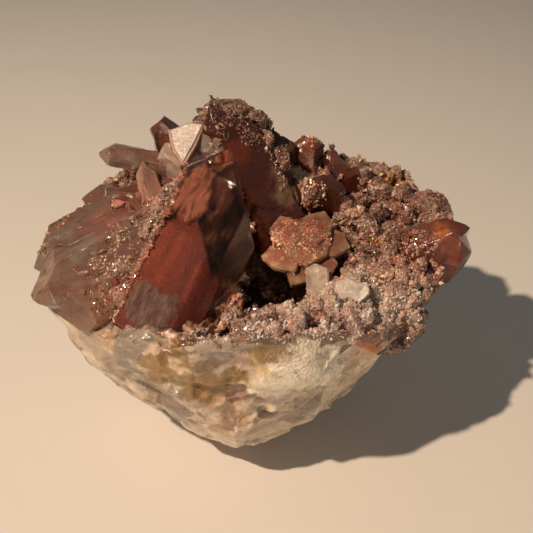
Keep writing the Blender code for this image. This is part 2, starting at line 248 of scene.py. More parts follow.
# Stains on the broken outside: middle, reach and colour
STAINS = (
    ((-25, -21, 40), 8, GREY),
    ((-20, -22, 30), 7, GREY),
    ((-30, -17, 34), 6, MILKY),
    ((-35, -12, 36), 8, MILKY),
    ((-23, -25, 43), 9, GREY),
    ((-31, -18, 38), 6, (0.44, 0.35, 0.27)),
    ((-29, -20, 42), 4, TAN),
    ((-16, -26, 41), 5, PALE),
    ((-17, -25, 37), 5, YELLOW),
    ((-11, -26, 36), 5, YELLOW),
    ((-9, -26, 31), 4, YELLOW),
    ((-4, -27, 38), 3.5, YELLOW),
    ((-14, -25, 43), 1.8, OCHRE),
    ((-12, -26, 41), 2.4, OCHRE),
    ((-10, -25, 32), 1.6, OCHRE),
    ((-3, -25, 31), 3.0, BROWN),
    ((-7, -27, 36), 2.2, BROWN),
    ((-6, -28, 44), 4.5, GREY),
    ((-10, -26, 42), 2.6, ROSE),
    ((-1, -28, 42), 4, PALE),
    ((-13.5, -27, 42.5), 3.5, YELLOW),
    ((-9, -27.5, 42), 4.5, (0.25, 0.16, 0.09)),
    ((-8, -27.5, 36), 4.5, YELLOW),
    ((-2, -28, 36), 3.5, YELLOW),
    ((-5, -28, 46), 4.5, (0.46, 0.36, 0.31)),
    ((2, -28, 42.5), 4.5, (0.60, 0.43, 0.21)),
    ((8, -27, 43), 8, WHITE),
    ((3, -27, 45), 4, YELLOW),
    ((6, -26, 36), 7, WHITE),
    ((14, -24, 37), 8, WHITE),
    ((22, -20, 34), 7, PALE),
    ((26, -18, 32), 5, GREENISH),
    ((24, -21, 38), 2.2, ORANGE),
    ((25, -21, 43), 3.5, RED),
    ((22.5, -22.5, 41), 3, ORANGE),
    ((21, -22, 37.5), 1.8, RED),
    ((29, -19, 42), 3, ORANGE),
    ((-7, -24, 23), 8, TAN),
    ((-12, -23, 25), 6, MILKY),
    ((-16, -23, 24), 6, SMOKE),
    ((4, -23, 18), 8, MILKY),
    ((3, -24, 25), 3, SMOKE),
    ((9, -22, 22), 5, GREY),
)

# Patches of colour on the large crystals: middle, reach, colour
PATCHES = (
    ((-41, -7, 42), 3.0, TAN),
    ((-35, -14, 44), 3.5, SMOKE),
    ((-30, 2, 51), 5.0, (0.42, 0.15, 0.10)),
    ((-34, -4, 48), 4.0, GREY),
    ((-38, 2, 46), 4.5, GREY),
    ((-26, 5, 53), 4.0, (0.34, 0.12, 0.08)),
    ((-22, 8, 56), 3.5, (0.40, 0.13, 0.09)),
    ((-31, -10, 46), 3.0, (0.36, 0.13, 0.08)),
    ((8, 8, 55), 4.0, (0.30, 0.19, 0.12)),
    ((6, 11, 58), 3.0, (0.24, 0.12, 0.07)),
    ((-3, 10, 63), 3.0, (0.26, 0.045, 0.018)),
    ((38.2, 1.5, 50), 3.0, ORANGE),
    ((38.0, 2, 50), 2.0, (0.85, 0.26, 0.05)),
    ((37, -3, 47), 3.0, (0.40, 0.17, 0.12)),
    ((11, 21, 59), 2.2, (0.70, 0.16, 0.07)),
)


def around(table, degrees):
    """The values of a table that runs round the cluster, on a smooth closed curve through its entries."""
    table = np.asarray(table, float)
    place = np.asarray(degrees, float) / 360 * len(table)
    first = np.floor(place).astype(int)
    share = place - first
    a, b, c, d = (table[(first + k) % len(table)] for k in (-1, 0, 1, 2))
    bend = share * (c - a + share * (2 * a - 5 * b + 4 * c - d + share * (3 * (b - c) + d - a)))
    return b + 0.5 * bend


def turned(reach, degrees, height, middle=(0, 0)):
    angle = np.radians(degrees)
    reach, angle, height = np.broadcast_arrays(reach, angle, height)
    return np.stack((middle[0] + reach * np.cos(angle), middle[1] + reach * np.sin(angle), height), axis=-1)


def stretch(way, start, end):
    return np.clip((way - start) / (end - start), 0, 1)


def root_points(way, degrees):
    """The root's surface at shares of the way from the foot's middle, up the side and over the rim, to the hollow's floor."""
    way, degrees = np.asarray(way, float), np.asarray(degrees, float)
    foot, rim, height, lip, lip_height = (
        around(table, degrees) for table in (FOOT_REACH, RIM_REACH, RIM_HEIGHT, LIP_REACH, LIP_HEIGHT)
    )
    under = turned(foot * way / FOOT_END, degrees, 0.0)
    up = stretch(way, FOOT_END, SIDE_END) ** 1.3
    side = turned(foot + (rim - foot) * up ** around(SIDE_CURVE, degrees), degrees, height * up)
    share = stretch(way, SIDE_END, TOP_END)
    outer = turned(rim, degrees, height)
    inner = turned(lip, degrees, lip_height, HOLLOW_MIDDLE)
    top = outer + (inner - outer) * share[..., None]
    top[..., 2] += around(TOP_CROWN, degrees) * np.sin(np.pi * share)
    down = stretch(way, TOP_END, WALL_END)
    wall_reach = lip * (1 - (1 - FLOOR_SHARE) * down ** 1.5)
    wall = turned(wall_reach, degrees, lip_height + (FLOOR_HEIGHT - lip_height) * down, HOLLOW_MIDDLE)
    floor = turned(lip * FLOOR_SHARE * (1 - stretch(way, WALL_END, 1.0)), degrees, FLOOR_HEIGHT, HOLLOW_MIDDLE)
    ends = [(way < end)[..., None] for end in (FOOT_END, SIDE_END, TOP_END, WALL_END)]
    return np.select(ends, [under, side, top, wall], floor)


def aimed(compass, slope):
    a, s = math.radians(compass), math.radians(slope)
    return Vector((math.cos(a) * math.cos(s), math.sin(a) * math.cos(s), math.sin(s)))


def chipped(point, size, height, tilt, border=0.0):
    """How far a broken surface stands out at a point: flat chips of about one size, each with its own level and slope.
    With a border, as a share of the size, the chips ease into each other."""
    place = point / size
    gaps, cells = noise.voronoi(place)
    cell = cells[0]
    slope = noise.cell_vector(cell * 31.7) - Vector((0.5, 0.5, 0.5))
    lift = height * (noise.cell(cell * 17.3) - 0.5) + tilt * (place - cell).dot(slope)
    return lift * smooth(0.0, border, gaps[1] - gaps[0]) if border else lift


def held(value, start, end):
    """Eases a coordinate that passes the start on either side, so that it never passes the end."""
    over = abs(value) - start
    return math.copysign(start + (end - start) * math.tanh(over / (end - start)), value) if over > 0 else value


def smooth(low, high, value):
    share = min(1.0, max(0.0, (value - low) / (high - low)))
    return share * share * (3 - 2 * share)


def blend(first, second, share):
    return tuple(a + (b - a) * share for a, b in zip(first, second))


def sugary(point):
    """How much of the fine sparkling grain the broken outside shows at a point."""
    amount = 0.12 + 0.25 * smooth(0.1, 0.5, noise.fractal(point / 6 + Vector((4, 8, 15)), 0.9, 2.0, 3))
    for middle, reach in SUGARY:
        gap = (point - Vector(middle)).length / reach + 0.3 * noise.noise(point / 2.5)
        amount = max(amount, smooth(1.0, 0.6, gap))
    return amount


def outside_colour(point, drop, facet):
    """The stone's colour at a point of the broken outside, with its drop below the rim and the chip that it lies on."""
    cell = noise.voronoi(point / CHIP_SIZE)[1][0]
    own = noise.cell_vector(cell * 3.7 + Vector((facet, 1.3, 2.9)))
    cloud = noise.fractal(point / 10, 0.9, 2.0, 3)
    fleck = noise.fractal(point / 3.2 + Vector((7, 3, 1)), 0.8, 2.1, 3)
    wisp = noise.fractal(Vector((point.x, point.y, point.z * 2.2)) / 5 + Vector((1, 6, 8)), 0.8, 2.1, 4)
    colour = blend(MILKY, GREY, smooth(-0.2, 0.3, cloud + 1.8 * (own.x - 0.5)))
    colour = blend(colour, YELLOW, 0.4 * smooth(0.2, 0.6, own.y - 0.5 + cloud))
    colour = blend(colour, PALE, 0.45 * smooth(0.1, 0.4, own.z - 0.5 + fleck * 0.3))
    for middle, reach, stain in STAINS:
        gap = (point - Vector(middle)).length / reach
        if gap < 1.6:
            colour = blend(colour, stain, 0.92 * smooth(0.0, 0.2, 1.0 - gap + 0.25 * fleck + 0.5 * (own.x - 0.5)))
    colour = blend(colour, WHITE, 0.35 * smooth(0.25, 0.6, wisp))
    colour = blend(colour, SMOKE, 0.3 * smooth(0.25, 0.6, -wisp))
    crack = abs(noise.noise(point / 4.5 + Vector((fleck, 2, fleck))))
    colour = blend(colour, BROWN, 0.5 * smooth(0.05, 0.0, crack) * smooth(-0.1, 0.2, cloud))
    edge = drop + 3.0 * fleck + 2.0 * cloud
    colour = blend(colour, DARK, 0.8 * smooth(1.1, 0.4, abs(edge - 0.9)))
    return blend(colour, crust_colour(point), smooth(0.4, 0.0, edge))


def crust_colour(point):
    cloud = noise.fractal(point / 6, 0.9, 2.0, 3)
    fleck = noise.fractal(point / 1.4 + Vector((7, 3, 1)), 0.8, 2.1, 3)
    colour = blend(MAROON, BROWN, smooth(-0.3, 0.4, cloud))
    colour = blend(colour, DARK, smooth(0.0, 0.6, fleck))
    # Painted shade: the crust is drawn towards DARK the lower it lies below 45 mm, as shade deep in the hollow.
    depth = smooth(45, 32, point.z)
    return blend(colour, DARK, 0.8 * depth)


def flatten(points, planes):
    """Draws the points that stand out of any plane back to it, towards the root's core. Also says which plane each
    point met last, if any."""
    met = np.full(len(points), -1)
    core = np.array(CORE)
    for number, (out, limit) in enumerate(planes):
        out = np.array(out)
        away = points - core
        over = points @ out > limit
        share = (limit - core @ out) / (away[over] @ out)
        points[over] = core + away[over] * share[:, None]
        met[over] = number
    return points, met


def chip_planes(points):
    """Many shallow chips all round the broken outside."""
    rng = random.Random(CHIP_SEED)
    for _ in range(CHIPS):
        out = aimed(rng.uniform(0, 360), -rng.uniform(*CHIP_SLOPE))
        yield out, float((points @ np.array(out)).max()) - rng.uniform(*CHIP_DEPTH)


def warp_root(bm):
    """Gives an even ball the root's form, relief and broken faces. Returns each point's drop below the rim."""
    ball = np.array([v.co for v in bm.verts])
    way = np.arccos(np.clip(-ball[:, 2], -1, 1)) / np.pi
    degrees = np.degrees(np.arctan2(ball[:, 1], ball[:, 0]))
    ends = SIDE_END + around(RIM_OVER, degrees)
    for v, place in zip(bm.verts, root_points(way, degrees)):
        v.co = place
    planes = []
    corners = np.array([v.co for v in bm.verts])
    for compass, slope, depth in BREAKS:
        out = aimed(compass, slope)
        planes.append((out, float((corners @ np.array(out)).max()) - depth))
    bm.normal_update()
    moved = []
    for v, share in zip(bm.verts, way):
        point = v.co.copy()
        inside = v.normal.z > 0.1 or (point.xy.length < 24 and point.z > 20)
        rugged = (RUGGED_IN if inside else RUGGED_OUT) * min(1.0, point.z / 3.0)
        swell = CHIP_SWELL * smooth(0.0, 3.0, point.z) if share < SIDE_END else 0.0
        moved.append(point + v.normal * (swell + rugged * noise.fractal(point / RUGGED_SCALE, 0.8, 2.1, 3)))
    points, _ = flatten(np.array(moved), planes)
    points, facet = flatten(points, list(chip_planes(points)))
    for v, place in zip(bm.verts, points):
        v.co = place
    bm.normal_update()
    moved = []
    for v, share, end in zip(bm.verts, way, ends):
        point = v.co
        strength = min(1.0, point.z / 4.0)
        if share < end:
            lift = 0.2 * noise.fractal(point / 5, 0.9, 2.0, 3) + 0.03 * noise.fractal(point / 1.2, 0.8, 2.1, 2)
            lift += chipped(point, CHIP_SIZE, 0.7, 2.8, 0.2) + chipped(point, 3.0, 0.12, 0.4, 0.25)
            for middle, reach, depth in DENTS:
                gap = (point - Vector(middle)).length / reach
                if gap < 1:
                    lift -= depth * (1 - gap * gap) ** 2
        else:
            lift = chipped(point, 4.6, 2.4, 2.6) + chipped(point, 1.7, 0.8, 0.9)
            lift += 0.2 * noise.fractal(point / 0.9, 0.7, 2.2, 2)
        seam = smooth(0.0, SEAM, abs(share - end))
        moved.append(point + v.normal * lift * strength * seam)
    for v, (x, y, z) in zip(bm.verts, moved):
        v.co = (held(x, *HELD_X), held(y, *HELD_Y), 0.0 if z < FOOT_PLANE else z)
    return (ends - way) * WAY_LENGTH, facet, planes


def build_root():
    """The root in two pieces that meet at the rim: the broken outside, and the bed under the crust."""
    bm = bmesh.new()
    bmesh.ops.create_icosphere(bm, subdivisions=ROOT_FACES, radius=1)
    drops, facets, planes = warp_root(bm)
    tint = bm.verts.layers.float_color.new("tint")
    for v, drop, facet in zip(bm.verts, drops, facets):
        point = v.co
        if drop > 0:
            v[tint] = (*outside_colour(point, drop, int(facet)), sugary(point))
        else:
            v[tint] = (*crust_colour(point), 1)
    bm.verts.ensure_lookup_table()
    bed = bm.copy()
    for part, keep_outside in ((bm, True), (bed, False)):
        part.verts.ensure_lookup_table()
        unwanted = [f for f in part.faces if any(drops[v.index] > 0 for v in f.verts) != keep_outside]
        bmesh.ops.delete(part, geom=unwanted, context="FACES")
    return bm, bed, planes


def cut(bm, point, out):
    """Cuts a closed convex body with a plane, drops what lies outside and closes the cut."""
    everything = bm.verts[:] + bm.edges[:] + bm.faces[:]
    found = bmesh.ops.bisect_plane(bm, geom=everything, dist=1e-5, plane_co=point, plane_no=out, clear_outer=True)
    rim = [e for e in found["geom_cut"] if isinstance(e, bmesh.types.BMEdge) and e.is_valid and e.is_boundary]
    if rim:
        bmesh.ops.edgeloop_fill(bm, edges=rim)


def crystal_block(length, width, flatness, lead, lead_by):
    """A six-sided quartz prism along Z, cut from a block by its sides and by the sloping faces of its head."""
    bm = bmesh.new()
    bmesh.ops.create_cube(bm, size=1)
    bmesh.ops.scale(bm, verts=bm.verts, vec=(2 * width, 2 * width, length + width))
    bmesh.ops.translate(bm, verts=bm.verts, vec=(0, 0, (length + width) / 2))
    middle = Vector((0, 0, length / 2))
    for side in range(6):
        reach = width * 0.433 * (flatness if side in (0, 3) else 1.0)
        out = aimed(60 * side, TAPER)
        cut(bm, middle + out * reach, out)
    for side in range(6):
        out = aimed(60 * side, 90 - HEAD_SLOPE)
        back = SET_BACK * (side % 2) - lead_by * (side == lead)
        cut(bm, Vector((0, 0, length)) + out * back * width, out)
    return bm


def stand(foot, tip, compass):
    """The placing of a crystal that grows from foot to tip with its broad side turned to a compass angle."""
    foot, along = Vector(foot), (Vector(tip) - Vector(foot)).normalized()
    broad = aimed(compass, 0)
    broad = (broad - along * along.dot(broad)).normalized()
    return Matrix.Translation(foot) @ Matrix((broad, along.cross(broad), along)).transposed().to_4x4()


def mark_growth(bm, colour):
    """Keeps each point's place in the crystal's own frame, so that patterns can follow its growth, and its colour."""
    grown = bm.verts.layers.float_vector.get("grown") or bm.verts.layers.float_vector.new("grown")
    tint = bm.verts.layers.float_color.get("tint") or bm.verts.layers.float_color.new("tint")
    for v in bm.verts:
        v[grown] = v.co * 0.1
        v[tint] = (*colour, 1)


def grow(form, colour, edge=0.14, worn=0.0, zone=None):
    """A large crystal from its line in the table, worn by chips of a height. Zone makes the part inside it instead: its
    share of the width and of the length, and its shift towards the broad side, across and along."""
    name, foot, tip, width, flatness, compass, lead, lead_by = form
    foot, tip = Vector(foot), Vector(tip)
    length = (tip - foot).length
    if zone:
        bm = crystal_block(length * zone[1], width * zone[0], flatness, lead, lead_by * 0.6)
        bmesh.ops.translate(bm, verts=bm.verts, vec=zone[2])
    else:
        bm = crystal_block(length, width, flatness, lead, lead_by)
    if edge:
        bmesh.ops.bevel(bm, geom=bm.edges[:], offset=edge, affect="EDGES", segments=1, profile=0.5, material=-1)
    if worn:
        refine(bm, WORN_MESH)
    mark_growth(bm, colour)
    bmesh.ops.transform(bm, verts=bm.verts, matrix=stand(foot, tip, compass))
    if worn:
        wear(bm, worn)
    return bm


def refine(bm, step):
    """Slices a body all through with evenly spaced planes, so that its faces can take relief."""
    for axis in (Vector((1, 0, 0)), Vector((0, 1, 0)), Vector((0, 0, 1))):
        reach = [v.co.dot(axis) for v in bm.verts]
        for number in range(1, int((max(reach) - min(reach)) / step)):
            everything = bm.verts[:] + bm.edges[:] + bm.faces[:]
            place = axis * (min(reach) + number * step)
            bmesh.ops.bisect_plane(bm, geom=everything, dist=1e-4, plane_co=place, plane_no=axis)
    bmesh.ops.triangulate(bm, faces=bm.faces)


def wear(bm, height):
    """Chips and roughens a crystal, more in some places than in others."""
    bm.normal_update()
    moved = []
    for v in bm.verts:
        point = v.co
        share = smooth(-0.35, 0.35, noise.fractal(point / 7 + Vector((3, 9, 5)), 0.9, 2.0, 2))
        lift = chipped(point, 3.4, height, height * 1.6) + chipped(point, 1.3, height * 0.35, height * 0.5)
        lift += 0.1 * height * noise.fractal(point / 0.7, 0.7, 2.2, 2)
        moved.append(point + v.normal * (lift - height * 0.4) * (0.15 + 0.85 * share))
    for v, place in zip(bm.verts, moved):
        v.co = place


def film(form, corners, depth, thickness=0.1):
    """A thin film in a crystal, parallel to its broad side: corners across and along, and its distance from the axis.
    Its alpha fades raggedly towards the edge."""
    _, foot, tip, _, _, compass, _, _ = form
    bm = plate([(depth, across, along) for across, along in corners], thickness, WHITE)
    refine(bm, 0.5)
    mark_growth(bm, WHITE)
    tint = bm.verts.layers.float_color["tint"]
    outline = [(depth, *corner) for corner in (*corners, corners[0])]
    gaps = near_line(np.array([v.co for v in bm.verts]), outline)
    for v, gap in zip(bm.verts, gaps):
        ragged = 0.8 * noise.fractal(v.co / 1.5, 0.8, 2.1, 3)
        v[tint] = (1, 1, 1, smooth(0.3, 1.3, gap + ragged))
    bmesh.ops.transform(bm, verts=bm.verts, matrix=stand(foot, tip, compass))
    return bm


def plate(corners, thickness, colour):
    """A thin flat plate through corners given counter-clockwise as seen from outside."""
    bm = bmesh.new()
    face = bm.faces.new([bm.verts.new(corner) for corner in corners])
    face.normal_update()
    down = face.normal * -thickness
    made = bmesh.ops.extrude_face_region(bm, geom=[face])
    lower = [v for v in made["geom"] if isinstance(v, bmesh.types.BMVert)]
    bmesh.ops.translate(bm, verts=lower, vec=down)
    bmesh.ops.recalc_face_normals(bm, faces=bm.faces)
    edge = 0.2 * thickness
    bmesh.ops.bevel(bm, geom=bm.edges[:], offset=edge, affect="EDGES", segments=1, profile=0.5, material=-1)
    mark_growth(bm, colour)
    return bm


def paint(bm, patches):
    """Lays soft ragged patches of colour over a crystal's own."""
    tint = bm.verts.layers.float_color["tint"]
    for middle, reach, stain in patches:
        middle = Vector(middle)
        for v in bm.verts:
            gap = (v.co - middle).length / reach
            if gap < 1.5:
                share = smooth(0.0, 0.5, 1.1 - gap + 0.35 * noise.fractal(v.co / 2.2, 0.8, 2.1, 3))
                v[tint] = (*blend(v[tint][:3], stain, share), 1)


def break_flush(bm, planes, margin=0.0):
    """Cuts off what stands out of the root's broken faces, or comes nearer to them than a margin."""
    for out, limit in planes:
        if any(out.dot(v.co) > limit - margin for v in bm.verts):
            cut(bm, out * (limit - margin), out)


def build_lump(middle, size, turn, seed):
    """A blocky lump: a ball of the lump's size, cut flat on many sides."""
    rng = random.Random(seed)
    bm = bmesh.new()
    bmesh.ops.create_icosphere(bm, subdivisions=2, radius=0.5)
    for _ in range(9):
        out = Vector((rng.gauss(0, 1), rng.gauss(0, 1), rng.gauss(0.3, 1))).normalized()
        cut(bm, out * rng.uniform(0.36, 0.44), out)
    bmesh.ops.scale(bm, verts=bm.verts, vec=size)
    bmesh.ops.rotate(bm, verts=bm.verts, matrix=Matrix.Rotation(math.radians(turn), 3, "Z"))
    bmesh.ops.translate(bm, verts=bm.verts, vec=middle)
    return bm


def small_points():
    """Foot, tip and width of each small crystal of the crust, scattered over the rim's top and its inner wall."""
    rng = random.Random(POINT_SEED)
    for _ in range(POINTS):
        degrees = rng.uniform(CRUST_FROM, CRUST_TO)
        way = rng.uniform(SIDE_END + 0.02, TOP_END + 0.05)
        here, along, across = (Vector(p) for p in root_points([way, way + 0.01, way], [degrees, degrees, degrees + 2]))
        along, across = along - here, across - here
        out = across.cross(along).normalized()
        lean = Vector((rng.uniform(-1, 1), rng.uniform(-1, 1), rng.uniform(0, 1)))
        out = (out + lean * POINT_LEAN).normalized()
        width = rng.uniform(*POINT_WIDTH)
        yield here - out * POINT_SINK, here + out * width * rng.uniform(*POINT_HEIGHT), width


def crust_blocks():
    """Foot, tip and width of stubby crystals of some millimetres that break up the crust, and of some on the peak."""
    rng = random.Random(BLOCK_SEED)
    places = [Vector(place) for place in (*PEAK_BLOCKS, *FRONT_BLOCKS)]
    for _ in range(BLOCKS):
        places.append(Vector(root_points([rng.uniform(*BLOCK_WAY)], [rng.uniform(*BLOCK_STRETCH)])[0]))
    for place in places:
        out = Vector((rng.gauss(0, 0.7), rng.gauss(-0.2, 0.7), 1.0)).normalized()
        width = rng.uniform(*BLOCK_WIDTH)
        yield place - out * width * 0.8, place + out * width * rng.uniform(0.25, 0.6), width


def join(target, source):
    """Adds one bmesh to another and frees it."""
    mesh = bpy.data.meshes.new("joined")
    source.to_mesh(mesh)
    source.free()
    target.from_mesh(mesh)
    bpy.data.meshes.remove(mesh)


def finish_piece(bm, name, material, slot, sharp=28):
    """Turns a bmesh in millimetres into a piece in metres that rides on the cluster."""
    low, high = (Vector(corner) for corner in CAD_BOX)
    shift = Vector(MIDDLE)
    for v in bm.verts:
        place = (v.co - shift) * MM
        v.co = Vector(min(max(place[k], low[k]), high[k]) for k in range(3))
    mesh = bpy.data.meshes.new(name)
    bm.to_mesh(mesh)
    bm.free()
    mesh.shade_smooth()
    mesh.set_sharp_from_angle(angle=math.radians(sharp))
    mesh.materials.append(material)
    piece = bpy.data.objects.new(name, mesh)
    bpy.context.scene.collection.objects.link(piece)
    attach(piece, "root")
    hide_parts(NODE)
    return piece


# Druse: thousands of small crystals, copies of a few forms


def druse_forms():
    """A few unit crystals of width 1 and height 1 as points and triangles."""
    forms = []
    for number, (flatness, lead, lead_by, slender) in enumerate(
        ((0.9, 0, 0.1, 1.2), (1.0, 2, 0.3, 0.9), (0.8, 4, 0.15, 1.4), (0.95, 1, 0.45, 1.0), (0.7, 3, 0.2, 1.1))
    ):
        bm = crystal_block(slender, 1.0, flatness, lead, lead_by)
        bmesh.ops.triangulate(bm, faces=bm.faces)
        forms.append(as_arrays(bm))
    return forms


def sugar_forms():
    """Still smaller grains: six-sided double points with their ends set off the middle."""
    forms = []
    for number in range(5):
        turn = math.radians(70 * number)
        off = 0.07 * number
        bm = bmesh.new()
        made = bmesh.ops.create_circle(bm, segments=6, radius=0.5)
        rim = made["verts"]
        for height in (1, -1):
            shift = (off * math.cos(turn), off * math.sin(turn), height * (0.45 + 0.1 * number))
            apex = bm.verts.new(shift)
            for a, b in zip(rim, rim[1:] + rim[:1]):
                bm.faces.new((a, b, apex))
        bmesh.ops.recalc_face_normals(bm, faces=bm.faces)
        forms.append(as_arrays(bm))
    return forms


def as_arrays(bm):
    bm.verts.index_update()
    points = np.array([v.co for v in bm.verts])
    faces = np.array([[v.index for v in f.verts] for f in bm.faces])
    bm.free()
    return points, faces


def surface_of(bm):
    """The triangles of a bmesh as corners, for scattering."""
    loops = bm.calc_loop_triangles()
    return np.array([[corner.vert.co for corner in triangle] for triangle in loops])


def scatter(triangles, count, rng):
    """Random places spread evenly over triangles, with the outward direction at each."""
    a, b, c = triangles[:, 0], triangles[:, 1], triangles[:, 2]
    normal = np.cross(b - a, c - a)
    area = np.linalg.norm(normal, axis=1)
    chosen = rng.choice(len(area), size=count, p=area / area.sum())
    u, v = rng.random((2, count, 1))
    flip = u + v > 1
    u, v = np.where(flip, 1 - u, u), np.where(flip, 1 - v, v)
    places = a[chosen] + u * (b - a)[chosen] + v * (c - a)[chosen]
    return places, normal[chosen] / area[chosen, None]


def exposed(places, triangles):
    """Which places aren't buried: the first surface straight above them, if any, is seen from outside."""
    tree = BVHTree.FromPolygons(triangles.reshape(-1, 3).tolist(), np.arange(triangles.size // 3).reshape(-1, 3).tolist())
    up = Vector((0.0, -0.3, 1.0)).normalized()
    free = np.ones(len(places), bool)
    for number, place in enumerate(places):
        _, normal, _, _ = tree.ray_cast(Vector(place) + up * 0.3, up, 15.0)
        free[number] = normal is None or normal.dot(up) < 0
    return free


def inside_any(places, solids, margin=0.2):
    """Which places lie deeper than a margin inside one of the large crystals."""
    hidden = np.zeros(len(places), bool)
    for normals, limits in solids:
        hidden |= (places @ normals.T < limits - margin).all(axis=1)
    return hidden


def planes_of(bm):
    normals = np.array([f.normal for f in bm.faces])
    limits = np.array([f.normal.dot(f.calc_center_median()) for f in bm.faces])
    return normals, limits


def near_line(places, line):
    """Distance of each place to a line through points."""
    steps = []
    for start, end in zip(line, line[1:]):
        start, end = np.array(start, float), np.array(end, float)
        share = np.clip(((places - start) @ (end - start)) / ((end - start) @ (end - start)), 0, 1)
        steps.append(np.linalg.norm(places - start - share[:, None] * (end - start), axis=1))
    return np.min(steps, axis=0)


# Where the druse changes: a line through the zone, its reach, and its two colours
ZONES = (
    (((-11, 6, 62), (-16, 1, 58), (-21, -3, 54), (-25, -7, 50), (-28, -14, 47)), 5.2, (0.62, 0.45, 0.36), (0.43, 0.20, 0.14)),
    (((9, -18, 48), (20, -14, 47), (29, -14, 46)), 9.0, (0.95, 0.80, 0.67), (0.80, 0.48, 0.36)),
    (((28, -8, 47), (34, -3, 47)), 5.0, (0.78, 0.50, 0.38), ROSE),
    (((8, 16, 53), (15, 11, 56), (20, 10, 52)), 6.0, (0.95, 0.62, 0.46), (0.50, 0.19, 0.125)),
    (((-12, -24, 46), (0, -25, 49), (10, -26, 51), (21, -22, 46)), 4.5, (0.95, 0.84, 0.76), (0.50, 0.22, 0.18)),
    (((-8, 15, 70), (2, 14, 66)), 8.0, (0.33, 0.18, 0.13), DARK),
    (((26, 21, 48), (31, 21, 48)), 6.0, PALE, ROSE),
    (((6, -1, 50), (10, -4, 50)), 7.0, (0.66, 0.42, 0.32), (0.52, 0.19, 0.13)),
    (((13, 0, 50), (14, 1, 50)), 2.6, (0.50, 0.12, 0.07), (0.62, 0.26, 0.18)),
    (((-34, 10, 49), (-43, 0, 45), (-43, -8, 42)), 4.5, (0.46, 0.22, 0.12), TAN),
    (((-13, -3, 66), (-19, -9, 60), (-28, -16, 47)), 4.2, (0.36, 0.16, 0.11), (0.28, 0.08, 0.045)),
    (((28, 17, 50), (30, 17.5, 50)), 2.2, OCHRE, OCHRE),
    (((24, 0, 47), (26, 1, 47)), 1.8, OCHRE, (0.66, 0.30, 0.10)),
    (((12, 10, 56), (13, 10, 56.5)), 1.6, (0.75, 0.42, 0.20), OCHRE),
)

# Stretches of the large crystals that druse coats as well: a line and its reach
COATED = (
    (((-10, 14, 71), (-4, 13, 71), (2, 13, 66)), 4.2),
    (((2, 13, 66), (6, 10, 60)), 2.0),
    (((6, -1, 50), (10, -5, 50), (13, 0, 50), (9, 2, 50)), 3.2),
    (((-11, 6, 62), (-15, 3, 59), (-18, 1, 56)), 3.2),
    (((31, 0.5, 46), (34, 1, 47.5)), 3.2),
    (((-38, 6, 48), (-43, 1, 46)), 2.0),
    (((-13, 0, 66), (-19, -6, 60), (-27, -14, 48)), 4.8),
    (((9, 9, 57), (11, 8, 54)), 3.0),
    (((-26, -2, 52), (-30, -8, 49)), 2.0),
    (((4, 21, 62), (12, 22, 60), (24, 24, 52)), 2.5),
)


def zone_tints(places, colours):
    """Colours of the crust's stone, drawn to the mean colour of any zone of the druse that a place lies in."""
    for line, reach, first, second in ZONES:
        inside = np.clip((1 - near_line(places, line) / reach) / 0.35, 0, 1)[:, None]
        mean = (np.array(first) + np.array(second)) / 2
        colours = colours + 0.8 * inside * (0.85 * mean - colours)
    return colours


def tint_crust(bm):
    """Colours a body of crust by the zones that it lies in, and through crust_colour darker lower down as painted
    shade.
    """
    tint = bm.verts.layers.float_color.get("tint") or bm.verts.layers.float_color.new("tint")
    places = np.array([v.co for v in bm.verts])
    colours = zone_tints(places, np.array([crust_colour(v.co) for v in bm.verts]))
    for v, colour in zip(bm.verts, colours):
        v[tint] = (*colour, 1)


def druse_colours(places, rng):
    """A colour for the crystal at each place: a smooth play between two colours of its zone, with some of its own,
    dimmed lower down as painted shade, and with lighter grains that are partly painted glints.
    """
    count = len(places)
    cloud = np.array([noise.fractal(Vector(place) / 4, 0.8, 2.1, 4) for place in places])
    ragged = np.array([noise.noise(Vector(place) / 3) for place in places])
    play = np.clip(1.7 * cloud + 0.5, 0, 1)[:, None]
    colours = np.array(GRAIN_DARK) * (1 - play) + np.array(GRAIN_LIGHT) * play
    for line, reach, first, second in ZONES:
        inside = np.clip((1 - near_line(places, line) / reach - 0.5 * ragged) / 0.35, 0, 1)[:, None]
        colours += inside * (np.array(first) * play + np.array(second) * (1 - play) - colours)
    own = rng.lognormal(0.0, 0.35, (count, 1))
    # Painted shade: grains are dimmed the lower they sit, down to 0.3 of their colour at 30 mm, as shade in the hollow.
    deep = np.clip((places[:, 2:] - 30) / 14, 0.3, 1)
    # A fifth of the grains are lightened towards cream: partly real clear quartz grains, partly a painted highlight for
    # the glints of the sparkling crust.
    clear_and_glint_grains = rng.random(count) < 0.2
    colours[clear_and_glint_grains] = colours[clear_and_glint_grains] * 0.45 + np.array(CREAM) * 0.55
    gloom = 1 - 0.65 * np.clip((ragged[:, None] - 0.08) / 0.3, 0, 1)
    return np.clip(colours * own * deep * gloom, 0, 0.95)


